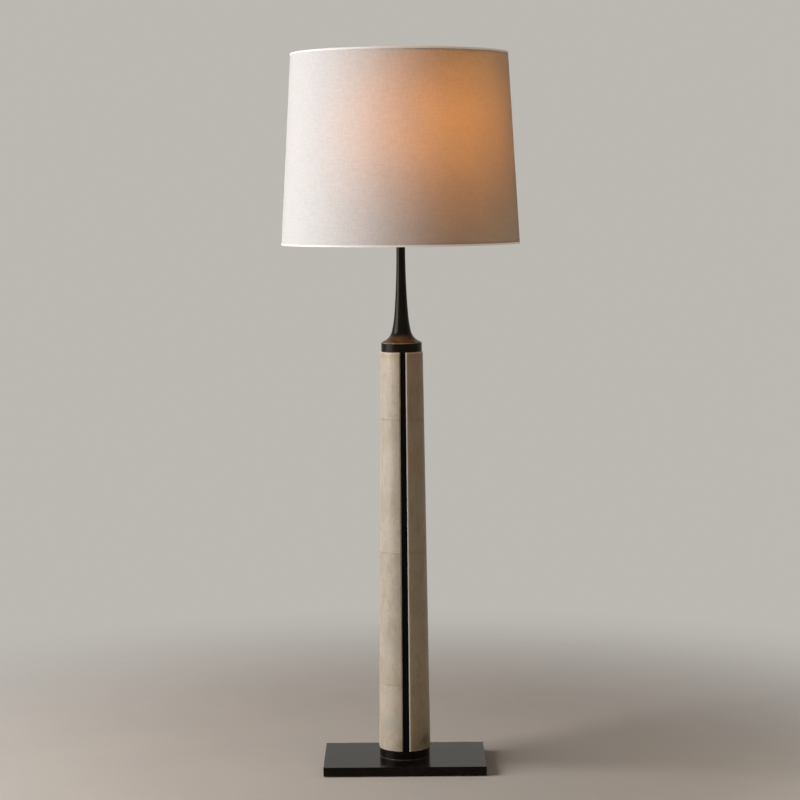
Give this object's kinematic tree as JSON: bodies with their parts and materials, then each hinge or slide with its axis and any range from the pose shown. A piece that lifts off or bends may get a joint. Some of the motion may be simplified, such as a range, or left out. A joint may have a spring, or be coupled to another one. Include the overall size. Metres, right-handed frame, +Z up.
{
  "type": "column floor lamp",
  "caption": "Floor lamp with a tapered drum shade on a slender trumpet neck, over a tapered column clad in parchment sheets with recessed dark strips, on a thick rectangular metal base.",
  "frame": {"origin": "centre of the lamp's footprint, on the floor under its pads", "axes": "+Z up along the lamp's axis, -Y to the front, +X to the right seen from the front"},
  "size_m": [0.5335, 0.5336, 1.6098],
  "materials": {
    "pad_rubber": "matt",
    "blackened_metal": "blackened bronze patina, satin, waxed",
    "strip_black": "satin black",
    "zinc_steel": "zinc plated",
    "bushing_plastic": "moulded",
    "core_wood": "turned, unfinished",
    "parchment": "natural parchment, mottled, satin lacquer",
    "harp_bronze": "oil rubbed bronze, satin",
    "stud_brass": "plain turned",
    "holder_brass": "brushed, lacquered",
    "holder_card": "pressed card",
    "holder_plastic": "moulded",
    "switch_metal": "plain turned",
    "knob_plastic": "moulded",
    "bulb_metal": "bright rolled",
    "bulb_glass": "frosted white",
    "stem_glass": "clear",
    "filament": "drawn wire",
    "shade_linen": "natural linen, plain weave",
    "hem_linen": "natural linen tape",
    "liner_white": "smooth white styrene",
    "frame_white": "white coated wire"
  },
  "bodies": {
    "lamp": {"foot_pads": "pad_rubber", "base_plate": "blackened_metal", "bottom_ring": "blackened_metal", "top_ring": "blackened_metal", "neck": "blackened_metal", "strip_front": "strip_black", "strip_right": "strip_black", "strip_back": "strip_black", "strip_left": "strip_black", "base_washer": "zinc_steel", "base_nut": "zinc_steel", "lamp_rod": "zinc_steel", "neck_nut": "zinc_steel", "cord_bushing": "bushing_plastic", "column_core": "core_wood", "sheet_front_right_1": "parchment", "sheet_back_right_1": "parchment", "sheet_back_left_1": "parchment", "sheet_front_left_1": "parchment", "sheet_front_right_2": "parchment", "sheet_back_right_2": "parchment", "sheet_back_left_2": "parchment", "sheet_front_left_2": "parchment", "sheet_front_right_3": "parchment", "sheet_back_right_3": "parchment", "sheet_back_left_3": "parchment", "sheet_front_left_3": "parchment", "sheet_front_right_4": "parchment", "sheet_back_right_4": "parchment", "sheet_back_left_4": "parchment", "sheet_front_left_4": "parchment", "harp_saddle": "harp_bronze", "harp": "harp_bronze", "harp_stud": "stud_brass", "screw_shell": "stud_brass", "centre_contact": "stud_brass", "holder_cap": "holder_brass", "holder_shell": "holder_brass", "holder_paper": "holder_card", "holder_body": "holder_plastic"},
    "shade": {"shade_linen": "shade_linen", "top_hem": "hem_linen", "bottom_hem": "hem_linen", "shade_liner": "liner_white", "shade_spider": "frame_white", "shade_bottom_wire": "frame_white"},
    "finial": {"finial": "harp_bronze"},
    "bulb": {"bulb_base": "bulb_metal", "bulb_glass": "bulb_glass", "bulb_stem": "stem_glass", "bulb_filament": "filament"},
    "switch": {"switch_shaft": "switch_metal", "switch_knob": "knob_plastic"},
    "left_sleeve": {"harp_sleeve_left": "harp_bronze"},
    "right_sleeve": {"harp_sleeve_right": "harp_bronze"}
  },
  "joints": [
    {"name": "shade_lift", "type": "slide", "parent": "lamp", "child": "shade", "axis": [0, 0, 1], "range_m": [0, 0.45]},
    {"name": "finial_turn", "type": "hinge", "parent": "shade", "child": "finial", "pos_m": [0, 0, 1.59], "axis": [0, 0, 1], "continuous": true},
    {"name": "bulb_turn", "type": "hinge", "parent": "lamp", "child": "bulb", "pos_m": [0, 0, 1.36], "axis": [0, 0, 1], "range_deg": [0, 900]},
    {"name": "switch_turn", "type": "hinge", "parent": "lamp", "child": "switch", "pos_m": [0, -0.02, 1.351], "axis": [0, -1, 0], "continuous": true},
    {"name": "left_sleeve_lift", "type": "slide", "parent": "lamp", "child": "left_sleeve", "axis": [0, 0, 1], "range_m": [0, 0.014]},
    {"name": "right_sleeve_lift", "type": "slide", "parent": "lamp", "child": "right_sleeve", "axis": [0, 0, 1], "range_m": [0, 0.014]}
  ]
}
